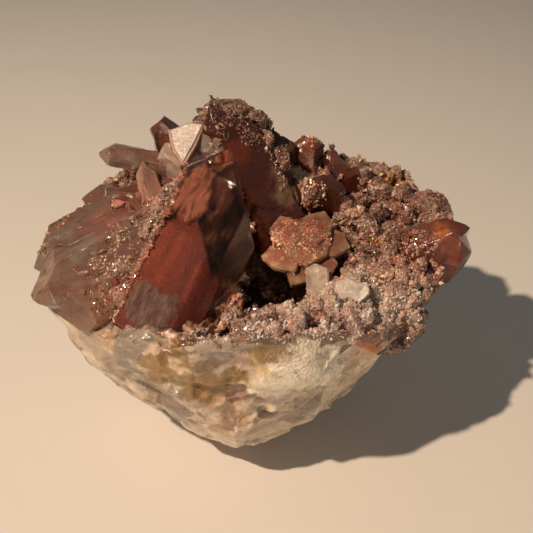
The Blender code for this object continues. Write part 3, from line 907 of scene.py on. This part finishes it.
def grow_druse(forms, places, outs, colours, widths, name, material, seed, lean=0.55, sink=0.35):
    """One piece of many small crystals, each standing on its place and leaning its own way."""
    rng = np.random.default_rng(seed)
    count = len(places)
    up = outs + rng.normal(0, lean, (count, 3))
    up /= np.linalg.norm(up, axis=1, keepdims=True)
    side = np.cross(up, rng.normal(0, 1, (count, 3)))
    side /= np.linalg.norm(side, axis=1, keepdims=True)
    turn = np.stack((side, np.cross(up, side), up), axis=2)
    stretch_up = rng.uniform(0.8, 1.5, count)
    kind = rng.integers(0, len(forms), count)
    all_points, all_faces, all_tints, total = [], [], [], 0
    for number, (points, faces) in enumerate(forms):
        these = np.flatnonzero(kind == number)
        size = widths[these, None, None] * np.ones((1, 1, 3))
        size[:, :, 2] *= stretch_up[these, None]
        local = (points[None] - np.array((0, 0, sink))) * size
        placed = np.einsum("nij,nkj->nki", turn[these], local) + places[these, None]
        all_points.append(placed.reshape(-1, 3))
        shift = np.arange(len(these))[:, None, None] * len(points) + total
        all_faces.append((faces[None] + shift).reshape(-1, 3))
        all_tints.append(np.repeat(colours[these], len(points), axis=0))
        total += len(these) * len(points)
    points = (np.concatenate(all_points) - np.array(MIDDLE)) * MM
    points = np.clip(points, CAD_BOX[0], CAD_BOX[1])
    faces = np.concatenate(all_faces)
    tints = np.concatenate(all_tints)
    mesh = bpy.data.meshes.new(name)
    mesh.vertices.add(len(points))
    mesh.vertices.foreach_set("co", points.astype(np.float32).ravel())
    mesh.loops.add(faces.size)
    mesh.loops.foreach_set("vertex_index", faces.astype(np.int32).ravel())
    mesh.polygons.add(len(faces))
    mesh.polygons.foreach_set("loop_start", np.arange(0, faces.size, 3, dtype=np.int32))
    mesh.update(calc_edges=True)
    mesh.validate()
    mesh.shade_flat()
    tint = mesh.attributes.new("tint", "FLOAT_COLOR", "POINT")
    tint.data.foreach_set("color", np.column_stack((tints, np.ones(len(tints)))).astype(np.float32).ravel())
    mesh.materials.append(material)
    piece = bpy.data.objects.new(name, mesh)
    bpy.context.scene.collection.objects.link(piece)
    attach(piece, "root")
    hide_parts(NODE)
    return piece


# Materials


def put(tree, kind, settings=None, **inputs):
    """Adds a node. Its inputs are given by name, with _ for a space or iN for a number, as values or sockets to link."""
    made = tree.nodes.new(kind)
    for name, value in (settings or {}).items():
        setattr(made, name, value)
    for name, value in inputs.items():
        key = int(name[1:]) if name[0] == "i" and name[1:].isdigit() else name.replace("_", " ")
        if isinstance(value, bpy.types.NodeSocket):
            tree.links.new(value, made.inputs[key])
        else:
            made.inputs[key].default_value = value
    return made


def colour4(colour):
    return (*colour, 1)


def mix_colours(tree, share, first, second, mode="MIX"):
    made = tree.nodes.new("ShaderNodeMix")
    made.data_type = "RGBA"
    made.blend_type = mode
    for key, value in ((0, share), (6, first), (7, second)):
        if isinstance(value, bpy.types.NodeSocket):
            tree.links.new(value, made.inputs[key])
        else:
            made.inputs[key].default_value = value if key == 0 else colour4(value)
    return made.outputs[2]


def ramp(tree, value, low, high):
    made = put(tree, "ShaderNodeMapRange", {"clamp": True}, Value=value, From_Min=low, From_Max=high)
    return made.outputs["Result"]


def new_material(name):
    material = bpy.data.materials.new(name)
    material.use_nodes = True
    shader = material.node_tree.nodes["Principled BSDF"]
    return material, material.node_tree, shader


def new_group(name, inputs, outputs):
    """An empty node group with its sockets, and its two ends."""
    group = bpy.data.node_groups.new(name, "ShaderNodeTree")
    kinds = {"f": "NodeSocketFloat", "c": "NodeSocketColor", "v": "NodeSocketVector"}
    for socket, kind in inputs:
        group.interface.new_socket(socket, in_out="INPUT", socket_type=kinds[kind])
    for socket, kind in outputs:
        group.interface.new_socket(socket, in_out="OUTPUT", socket_type=kinds[kind])
    return group, group.nodes.new("NodeGroupInput"), group.nodes.new("NodeGroupOutput")


def stone_grain_group():
    """Cloudy and flecked variation of a colour, with a fine height to match. Scale is in features per metre."""
    inputs = (("Colour", "c"), ("Place", "v"), ("Scale", "f"), ("Strength", "f"))
    group, start, end = new_group("stone_grain", inputs, (("Colour", "c"), ("Height", "f"), ("Fleck", "f")))
    source = start.outputs
    cloud = put(group, "ShaderNodeTexNoise", Vector=source["Place"], Scale=source["Scale"], Detail=5.0, Roughness=0.6)
    finer = put(group, "ShaderNodeMath", {"operation": "MULTIPLY"}, i0=source["Scale"], i1=5.0)
    fleck = put(group, "ShaderNodeTexNoise", Vector=source["Place"], Scale=finer.outputs[0], Detail=4.0, Roughness=0.65)
    crack = put(group, "ShaderNodeTexVoronoi", {"feature": "DISTANCE_TO_EDGE"}, Vector=source["Place"],
                Scale=finer.outputs[0])
    light = ramp(group, cloud.outputs["Fac"], 0.3, 0.7)
    spot = ramp(group, fleck.outputs["Fac"], 0.35, 0.7)
    both = put(group, "ShaderNodeMath", {"operation": "MULTIPLY_ADD"}, i0=light, i1=0.6, i2=0.55)
    both = put(group, "ShaderNodeMath", {"operation": "MULTIPLY_ADD"}, i0=spot, i1=0.35, i2=both.outputs[0])
    even = put(group, "ShaderNodeMath", {"operation": "SUBTRACT"}, i0=both.outputs[0], i1=1.0)
    eased = put(group, "ShaderNodeMath", {"operation": "MULTIPLY_ADD"}, i0=even.outputs[0], i1=source["Strength"],
                i2=1.0)
    scaled = put(group, "ShaderNodeVectorMath", {"operation": "SCALE"}, Vector=source["Colour"], Scale=eased.outputs[0])
    group.links.new(scaled.outputs[0], end.inputs["Colour"])
    edge = ramp(group, crack.outputs["Distance"], 0.0, 0.12)
    height = put(group, "ShaderNodeMath", {"operation": "MULTIPLY_ADD"}, i0=edge, i1=0.25, i2=spot)
    group.links.new(height.outputs[0], end.inputs["Height"])
    group.links.new(spot, end.inputs["Fleck"])
    return group


def sugar_group():
    """A crust of tiny grains, some light and some dark, with a height to match. Scale is in grains per metre."""
    inputs = (("Colour", "c"), ("Light", "c"), ("Place", "v"), ("Scale", "f"))
    group, start, end = new_group("sugar_grains", inputs, (("Colour", "c"), ("Height", "f")))
    source = start.outputs
    grains = put(group, "ShaderNodeTexVoronoi", Vector=source["Place"], Scale=source["Scale"])
    own = put(group, "ShaderNodeSeparateColor", Color=grains.outputs["Color"]).outputs
    wide = put(group, "ShaderNodeMath", {"operation": "MULTIPLY"}, i0=source["Scale"], i1=0.16)
    patch = put(group, "ShaderNodeTexNoise", Vector=source["Place"], Scale=wide.outputs[0], Detail=3.0)
    light = put(group, "ShaderNodeMath", {"operation": "MULTIPLY"}, i0=ramp(group, own["Red"], 0.3, 1.0),
                i1=ramp(group, patch.outputs["Fac"], 0.38, 0.62))
    dark = put(group, "ShaderNodeMath", {"operation": "MULTIPLY_ADD"}, i0=own["Green"], i1=0.9, i2=0.45)
    shaded = put(group, "ShaderNodeVectorMath", {"operation": "SCALE"}, Vector=source["Colour"], Scale=dark.outputs[0])
    group.links.new(mix_colours(group, light.outputs[0], shaded.outputs[0], source["Light"]), end.inputs["Colour"])
    height = put(group, "ShaderNodeMath", {"operation": "ADD"}, i0=own["Blue"], i1=grains.outputs["Distance"])
    group.links.new(height.outputs[0], end.inputs["Height"])
    return group


def growth_group():
    """Patterns that follow a crystal's growth: veils drawn out along it, and fine steps across its sides."""
    inputs = (("First", "c"), ("Second", "c"), ("Scale", "f"))
    group, start, end = new_group("crystal_growth", inputs, (("Colour", "c"), ("Height", "f"), ("Veil", "f")))
    source = start.outputs
    grown = put(group, "ShaderNodeAttribute", {"attribute_name": "grown"}).outputs["Vector"]
    drawn = put(group, "ShaderNodeMapping", Vector=grown, Scale=(1.0, 1.0, 0.28))
    veil = put(group, "ShaderNodeTexNoise", Vector=drawn.outputs[0], Scale=source["Scale"], Detail=6.0, Roughness=0.62,
               Distortion=0.6)
    share = ramp(group, veil.outputs["Fac"], 0.36, 0.66)
    group.links.new(mix_colours(group, share, source["First"], source["Second"]), end.inputs["Colour"])
    flat = put(group, "ShaderNodeMapping", Vector=grown, Scale=(1.2, 1.2, 22.0))
    steps = put(group, "ShaderNodeTexNoise", Vector=flat.outputs[0], Scale=2.0, Detail=3.0, Roughness=0.6)
    scar = put(group, "ShaderNodeTexNoise", Vector=grown, Scale=9.0, Detail=4.0, Roughness=0.6)
    height = put(group, "ShaderNodeMath", {"operation": "MULTIPLY_ADD"}, i0=scar.outputs["Fac"], i1=0.6,
                 i2=steps.outputs["Fac"])
    group.links.new(height.outputs[0], end.inputs["Height"])
    group.links.new(share, end.inputs["Veil"])
    return group


def tinted(tree):
    return put(tree, "ShaderNodeAttribute", {"attribute_name": "tint"}).outputs["Color"]


def object_place(tree):
    return put(tree, "ShaderNodeTexCoord").outputs["Object"]


def add_grain(tree, colour, scale, strength):
    grain = put(tree, "ShaderNodeGroup", {"node_tree": GRAIN}, Place=object_place(tree), Scale=scale, Strength=strength)
    tree.links.new(colour, grain.inputs["Colour"])
    return grain


def bump(tree, shader, height, distance, strength=1.0):
    made = put(tree, "ShaderNodeBump", Height=height, Distance=distance, Strength=strength)
    tree.links.new(made.outputs[0], shader.inputs["Normal"])


def set_values(shader, **values):
    for name, value in values.items():
        shader.inputs[name.replace("_", " ")].default_value = value


def milky_quartz():
    """Broken massive quartz: glassy and cloudy, with a sparkling grain where the points' alpha asks for it."""
    material, tree, shader = new_material("milky_quartz")
    own = put(tree, "ShaderNodeAttribute", {"attribute_name": "tint"})
    grain = add_grain(tree, own.outputs["Color"], 130.0, 0.45)
    tree.links.new(grain.outputs["Colour"], shader.inputs["Base Color"])
    fine = put(tree, "ShaderNodeTexVoronoi", Vector=object_place(tree), Scale=1700.0)
    sugar = put(tree, "ShaderNodeMath", {"operation": "MULTIPLY"}, i0=fine.outputs["Distance"], i1=own.outputs["Alpha"])
    both = put(tree, "ShaderNodeMath", {"operation": "MULTIPLY_ADD"}, i0=grain.outputs["Height"], i1=0.3,
               i2=sugar.outputs[0])
    rough = put(tree, "ShaderNodeMath", {"operation": "MULTIPLY_ADD"}, i0=grain.outputs["Fleck"], i1=0.2, i2=0.26)
    tree.links.new(rough.outputs[0], shader.inputs["Roughness"])
    bump(tree, shader, both.outputs[0], 0.0004, 0.8)
    set_values(shader, IOR=1.54, Subsurface_Weight=0.5, Subsurface_Radius=(1.0, 0.72, 0.5), Subsurface_Scale=0.003,
               Coat_Weight=0.2, Coat_Roughness=0.12)
    return material


def sugar_crust(name, light, roughness=0.28):
    """Drusy crust in its points' own colour, speckled with lighter grains."""
    material, tree, shader = new_material(name)
    grain = add_grain(tree, tinted(tree), 420.0, 1.0)
    sugar = put(tree, "ShaderNodeGroup", {"node_tree": SUGAR}, Colour=grain.outputs["Colour"], Light=colour4(light),
                Place=object_place(tree), Scale=2400.0)
    tree.links.new(sugar.outputs["Colour"], shader.inputs["Base Color"])
    rough = put(tree, "ShaderNodeMath", {"operation": "MULTIPLY_ADD"}, i0=grain.outputs["Fleck"], i1=0.2, i2=roughness)
    tree.links.new(rough.outputs[0], shader.inputs["Roughness"])
    bump(tree, shader, sugar.outputs["Height"], 0.00025, 0.9)
    set_values(shader, IOR=1.54, Coat_Weight=0.4, Coat_Roughness=0.1)
    return material


def druse(name, transmission, roughness):
    material, tree, shader = new_material(name)
    grain = add_grain(tree, tinted(tree), 900.0, 0.5)
    tree.links.new(grain.outputs["Colour"], shader.inputs["Base Color"])
    rough = put(tree, "ShaderNodeMath", {"operation": "MULTIPLY_ADD"}, i0=grain.outputs["Fleck"], i1=0.15, i2=roughness)
    tree.links.new(rough.outputs[0], shader.inputs["Roughness"])
    set_values(shader, IOR=1.54, Transmission_Weight=transmission, Coat_Weight=0.4, Coat_Roughness=0.08)
    return material


def veined_crystal(name, second, transmission, roughness=0.12, scale=2.2):
    """Crystal with its own colour from its points, veined with a second one along its growth."""
    material, tree, shader = new_material(name)
    growth = put(tree, "ShaderNodeGroup", {"node_tree": GROWTH}, First=tinted(tree), Second=colour4(second), Scale=scale)
    grain = add_grain(tree, growth.outputs["Colour"], 260.0, 0.5)
    tree.links.new(grain.outputs["Colour"], shader.inputs["Base Color"])
    rough = put(tree, "ShaderNodeMath", {"operation": "MULTIPLY_ADD"}, i0=grain.outputs["Fleck"], i1=0.2, i2=roughness)
    tree.links.new(rough.outputs[0], shader.inputs["Roughness"])
    bump(tree, shader, growth.outputs["Height"], 0.00012, 0.6)
    set_values(shader, IOR=1.54, Transmission_Weight=transmission, Coat_Weight=0.5, Coat_Roughness=0.06)
    return material


def clear_quartz(name, colour, absorbed, density, roughness=0.05):
    """See-through quartz: plain transmission with the stone's own absorption."""
    material, tree, shader = new_material(name)
    growth = put(tree, "ShaderNodeGroup", {"node_tree": GROWTH}, Scale=2.0)
    bump(tree, shader, growth.outputs["Height"], 0.00008, 0.5)
    set_values(shader, Base_Color=colour4(colour), IOR=1.54, Roughness=roughness, Transmission_Weight=1.0)
    volume = put(tree, "ShaderNodeVolumeAbsorption", Color=colour4(absorbed), Density=density)
    tree.links.new(volume.outputs[0], tree.nodes["Material Output"].inputs["Volume"])
    return material


def veil(name, colour, amount, scale=3.0, least=0.0):
    """A see-through film inside a crystal: colour where the growth pattern is dense."""
    material, tree, shader = new_material(name)
    growth = put(tree, "ShaderNodeGroup", {"node_tree": GROWTH}, Scale=scale)
    own = put(tree, "ShaderNodeAttribute", {"attribute_name": "tint"})
    dense = put(tree, "ShaderNodeMath", {"operation": "MULTIPLY_ADD"}, i0=growth.outputs["Veil"], i1=amount, i2=least)
    share = put(tree, "ShaderNodeMath", {"operation": "MULTIPLY", "use_clamp": True}, i0=dense.outputs[0],
                i1=own.outputs["Alpha"])
    tree.links.new(share.outputs[0], shader.inputs["Alpha"])
    grain = add_grain(tree, put(tree, "ShaderNodeRGB").outputs[0], 420.0, 0.7)
    tree.nodes["RGB"].outputs[0].default_value = colour4(colour)
    tree.links.new(grain.outputs["Colour"], shader.inputs["Base Color"])
    set_values(shader, Roughness=0.6)
    return material


def red_zone(name, deep, bright):
    """The iron-red zone inside a crystal: deep red with brighter flames along the growth."""
    material, tree, shader = new_material(name)
    growth = put(tree, "ShaderNodeGroup", {"node_tree": GROWTH}, First=colour4(deep), Second=colour4(bright), Scale=1.6)
    grain = add_grain(tree, growth.outputs["Colour"], 420.0, 0.7)
    tree.links.new(grain.outputs["Colour"], shader.inputs["Base Color"])
    bump(tree, shader, grain.outputs["Height"], 0.0002, 0.7)
    set_values(shader, Roughness=0.55)
    return material


def floor_material():
    material, tree, shader = new_material("pale_floor")
    grain = add_grain(tree, put(tree, "ShaderNodeRGB").outputs[0], 25.0, 0.03)
    tree.nodes["RGB"].outputs[0].default_value = (0.80, 0.77, 0.74, 1)
    tree.links.new(grain.outputs["Colour"], shader.inputs["Base Color"])
    set_values(shader, Roughness=0.9)
    return material


# Stage


def aim(obj, place, target):
    obj.location = place
    obj.rotation_euler = (Vector(target) - Vector(place)).to_track_quat("-Z", "Y").to_euler()
    bpy.context.scene.collection.objects.link(obj)


def set_camera():
    data = bpy.data.cameras.new("camera")
    data.sensor_width = 36
    data.lens = 91.7
    data.clip_start = 0.01
    camera = bpy.data.objects.new("camera", data)
    target = Vector((0.00305, 0.00297, 0.0387))
    elevation = math.radians(42)
    aim(camera, target + Vector((0, -math.cos(elevation), math.sin(elevation))) * 0.28, target)
    bpy.context.scene.camera = camera


def set_lights():
    key = bpy.data.lights.new("key_light", "SPOT")
    key.shadow_soft_size = 0.022
    key.spot_size = math.radians(30)
    key.spot_blend = 1.0
    key.energy = 85
    key.color = (1.0, 0.76, 0.54)
    aim(bpy.data.objects.new("key_light", key), (-0.677, -0.457, 1.258), (-0.09, -0.13, 0))
    fill = bpy.data.lights.new("fill_light", "AREA")
    fill.size = 0.5
    fill.energy = 0.25
    fill.color = (1.0, 0.92, 0.82)
    aim(bpy.data.objects.new("fill_light", fill), (-0.5, 0.5, 0.5), (0, 0, 0.03))
    card = bpy.data.lights.new("bounce_card", "AREA")
    card.shape = "RECTANGLE"
    card.size = 0.35
    card.size_y = 0.12
    card.energy = 0.5
    card.color = (1.0, 0.80, 0.58)
    aim(bpy.data.objects.new("bounce_card", card), (-0.28, -0.50, 0.07), (0, 0, 0.02))
    world = bpy.data.worlds.new("room")
    world.use_nodes = True
    world.node_tree.nodes["Background"].inputs["Color"].default_value = (0.100, 0.098, 0.090, 1)
    bpy.context.scene.world = world


def set_floor():
    bm = bmesh.new()
    bmesh.ops.create_grid(bm, x_segments=2, y_segments=2, size=1.5)
    mesh = bpy.data.meshes.new("floor")
    bm.to_mesh(mesh)
    bm.free()
    mesh.materials.append(floor_material())
    floor = bpy.data.objects.new("floor", mesh)
    bpy.context.scene.collection.objects.link(floor)


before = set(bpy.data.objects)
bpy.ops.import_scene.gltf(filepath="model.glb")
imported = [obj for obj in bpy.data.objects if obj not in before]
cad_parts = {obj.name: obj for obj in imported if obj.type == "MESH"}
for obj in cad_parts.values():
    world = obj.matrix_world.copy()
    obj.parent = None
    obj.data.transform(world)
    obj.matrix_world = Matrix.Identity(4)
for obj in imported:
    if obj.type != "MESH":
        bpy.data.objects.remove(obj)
CAD_BOX = [list(corner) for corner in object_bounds()]
GRAIN = stone_grain_group()
GROWTH = growth_group()
SUGAR = sugar_group()

set_camera()
set_lights()
set_floor()

outside, bed, planes = build_root()
bed_triangles = surface_of(bed)
outside_triangles = surface_of(outside)
tint_crust(bed)
finish_piece(outside, "quartz_root", milky_quartz(), "milky_quartz", 14)
finish_piece(bed, "crust_bed", sugar_crust("crust_bed", (0.66, 0.44, 0.35)), "iron_crust")

forms = {form[0]: form for form in CRYSTALS}
petals = bmesh.new()
for x, y, reach, count, height, turn in PETALS:
    corners = []
    for number in range(count):
        angle = math.radians(turn + 360 * number / count)
        far = reach * (1.0 if number % 2 else 0.8)
        corners.append((x + far * math.cos(angle), y + far * math.sin(angle), height + 0.16 * (y + far * math.sin(angle))))
    petal = plate(corners, 1.5, PETAL_HEART)
    refine(petal, WORN_MESH)
    tint = petal.verts.layers.float_color["tint"]
    for v in petal.verts:
        gap = (v.co.xy - Vector((x, y))).length / reach + 0.3 * noise.noise(v.co / 1.5)
        v[tint] = (*blend(PETAL_HEART, PETAL_EDGE, smooth(0.35, 0.8, gap)), 1)
    wear(petal, 0.2)
    join(petals, petal)
solids = []
for form in CRYSTALS:
    bm = grow(form, WHITE, edge=0)
    solids.append(planes_of(bm))
    bm.free()

lumps = bmesh.new()
tint = lumps.verts.layers.float_color.new("tint")
made_lumps = []
for seed, (name, *form) in enumerate(LUMPS):
    lump = build_lump(*form, seed)
    if name in BROKEN_FLUSH:
        break_flush(lump, planes)
    made_lumps.append(lump)
for lump in made_lumps:
    refine(lump, WORN_MESH)
    wear(lump, 0.9)
    tint_crust(lump)
    join(lumps, lump)
lump_triangles = surface_of(lumps)
finish_piece(lumps, "crust_lumps", bpy.data.materials["crust_bed"], "iron_crust")

# Group: piece name, material, record slot, how worn, and its crystals with their colours
GROUPS = (
    ("smoky_crystals", veined_crystal("smoky_quartz", (0.24, 0.085, 0.055), 0.35, 0.22, 3.5), "smoky_quartz", 0.25, (
        ("left_upper", (0.25, 0.165, 0.12)), ("left_lower", (0.34, 0.225, 0.16)), ("left_front", (0.33, 0.19, 0.13)),
        ("left_middle", (0.21, 0.11, 0.08)), ("left_lap", (0.26, 0.13, 0.09)), ("left_top", (0.27, 0.11, 0.075)),
        ("left_back", (0.26, 0.14, 0.10)), ("glassy_side", (0.40, 0.33, 0.28)), ("bullet", (0.36, 0.27, 0.21)))),
    ("red_crystals", veined_crystal("deep_red_quartz", (0.07, 0.018, 0.010), 0.15), "red_quartz", 0.3, (
        ("second_point", (0.085, 0.019, 0.011)), ("barrel", (0.15, 0.034, 0.020)), ("dark_barrel", (0.15, 0.04, 0.027)),
        ("small_red", (0.24, 0.08, 0.05)), ("dark_head", (0.20, 0.06, 0.04)))),
    ("back_crystals", veined_crystal("brown_quartz", (0.13, 0.04, 0.03), 0.15), "red_quartz", 0.7, (
        ("back_first", (0.15, 0.055, 0.04)), ("back_second", (0.27, 0.085, 0.045)), ("back_third", (0.20, 0.07, 0.05)),
        ("back_fourth", (0.17, 0.07, 0.05)))),
    ("right_crystals", veined_crystal("amber_red_quartz", (0.16, 0.035, 0.02), 0.25), "red_quartz", 0.12, (
        ("right_point", (0.20, 0.06, 0.035)), ("right_head", (0.32, 0.066, 0.034)))),
    ("pink_crystals", veined_crystal("pink_quartz", (0.60, 0.42, 0.34), 0.2), "smoky_quartz", 0.4, (
        ("wedge", (0.36, 0.13, 0.09)), ("white_head", (0.50, 0.38, 0.33)))),
)
coats = [surface_of(petals)]
finish_piece(petals, "rosette", veined_crystal("tan_quartz", (0.30, 0.11, 0.07), 0.25, 0.15, 6.0), "smoky_quartz")
for name, material, slot, worn, members in GROUPS:
    group = bmesh.new()
    for member, colour in members:
        join(group, grow(forms[member], colour, worn=worn))
    paint(group, PATCHES)
    coats.append(surface_of(group))
    finish_piece(group, name, material, slot)

glass = clear_quartz("clear_quartz", (0.95, 0.90, 0.86), (0.58, 0.36, 0.26), 190)
shell = grow(forms["main_point"], WHITE)
break_flush(shell, planes, SUNK)
coats.append(surface_of(shell))
shell = finish_piece(shell, "main_point_skin", glass, "red_quartz")
shell.visible_shadow = False
phantom = grow(forms["main_point"], WHITE, edge=0.3, zone=(0.80, 0.66, (0.5, -1.7, 0)))
break_flush(phantom, planes, SUNK)
phantom_red = red_zone("phantom_red", (0.075, 0.007, 0.003), (0.21, 0.033, 0.010))
finish_piece(phantom, "main_point_phantom", phantom_red, "red_quartz")

main = forms["main_point"]
blush = film(main, ((-7.6, 24.0), (-2.5, 24.0), (0.5, 29.0), (-1.5, 35.0), (-5.0, 38.0), (-7.0, 33.0)), 5.1)
finish_piece(blush, "main_point_blush", veil("blush_veil", (0.36, 0.115, 0.06), 0.75, 5.0), "red_quartz")
etched = film(main, ETCHED, 5.75, 0.35)
finish_piece(etched, "etched_patch", veil("etched_quartz", (0.165, 0.09, 0.075), 0.85, 11.0, 0.12), "smoky_quartz")

face = plate(((-16.4, 13.0, 66.2), (-15.6, 10.0, 63.8), (-13.7, 7.5, 62.0), (-11.6, 10.0, 64.8), (-9.6, 13.2, 67.6),
              (-12.6, 13.8, 67.4)), 1.2, (0.50, 0.41, 0.365))
finish_piece(face, "white_face", veined_crystal("white_quartz", (0.38, 0.24, 0.19), 0.1, 0.25, 5.0), "milky_quartz")
rim = plate(((-16.9, 13.3, 66.1), (-16.0, 9.9, 63.3), (-13.6, 7.0, 61.3), (-11.2, 9.8, 64.2), (-9.4, 13.0, 67.1)), 1.0,
            (0.34, 0.10, 0.06))
finish_piece(rim, "white_face_rim", veined_crystal("red_edge_quartz", (0.45, 0.25, 0.18), 0.1, 0.25, 5.0), "red_quartz")

chips = bmesh.new()
for corners, height, lean, colour in CRUST_PLATES:
    chip = plate([(x, y, height + lean * (y - corners[0][1])) for x, y in corners], 2.0, colour)
    refine(chip, WORN_MESH)
    wear(chip, 0.5)
    join(chips, chip)
finish_piece(chips, "crust_plates", veined_crystal("plate_quartz", (0.60, 0.48, 0.40), 0.05, 0.25, 6.0), "milky_quartz")

points = bmesh.new()
for number, (foot, tip, width) in enumerate(small_points()):
    colour = (MAROON, BROWN, ROSE)[number % 3]
    join(points, grow(("", foot, tip, width, 0.9, 47 * number, number % 6, 0.1), colour, 0.06))
for number, (foot, tip, width) in enumerate(crust_blocks()):
    colour = (MAROON, BROWN, MAROON, ROSE)[number % 4]
    join(points, grow(("", foot, tip, width, 0.85, 73 * number, number % 6, 0.15), colour, 0.1, worn=0.4))
tint_crust(points)
point_triangles = surface_of(points)
finish_piece(points, "crust_points", sugar_crust("crust_point_quartz", (0.74, 0.52, 0.42), 0.18), "iron_crust")

rng = np.random.default_rng(5)
middles = outside_triangles.mean(axis=1)
compass = np.arange(0, 361, 10)
rim_line = root_points(SIDE_END + around(RIM_OVER, compass), compass)
rim_triangles = outside_triangles[near_line(middles, rim_line) < 2.0]
host = np.concatenate((bed_triangles, lump_triangles))
fine_host = np.concatenate((host, point_triangles, rim_triangles))
coat_host = np.concatenate(coats)
middles = coat_host.mean(axis=1)
wanted = np.zeros(len(middles), bool)
ragged = np.array([1 + 0.6 * noise.noise(Vector(middle) / 2.2) for middle in middles])
for line, reach in COATED:
    wanted |= near_line(middles, line) < reach * ragged
coat_host = coat_host[wanted]
dark_druse = druse("dark_druse", 0.0, 0.12)
for name, made, host, count, low, high in (
    ("druse", druse_forms(), host, 1500, 0.8, 1.7),
    ("sugar_first", sugar_forms(), fine_host, 30000, 0.45, 0.95),
    ("sugar_second", sugar_forms(), fine_host, 30000, 0.35, 0.8),
    ("sugar_third", sugar_forms(), fine_host, 30000, 0.3, 0.7),
    ("sugar_coat", sugar_forms(), coat_host, 9000, 0.3, 0.8),
):
    places, outs = scatter(host, count, rng)
    if name != "sugar_coat":
        shown = ~inside_any(places, solids) & (places[:, 2] > 26)
        places, outs = places[shown], outs[shown]
        shown = exposed(places, fine_host)
        places, outs = places[shown], outs[shown]
    places, outs = places[:GRAINS_A_PIECE], outs[:GRAINS_A_PIECE]
    widths = low + (high - low) * rng.random(len(places)) ** 2
    grow_druse(made, places, outs, druse_colours(places, rng), widths, name, dark_druse, count)

bpy.context.scene.view_settings.view_transform = "Standard"
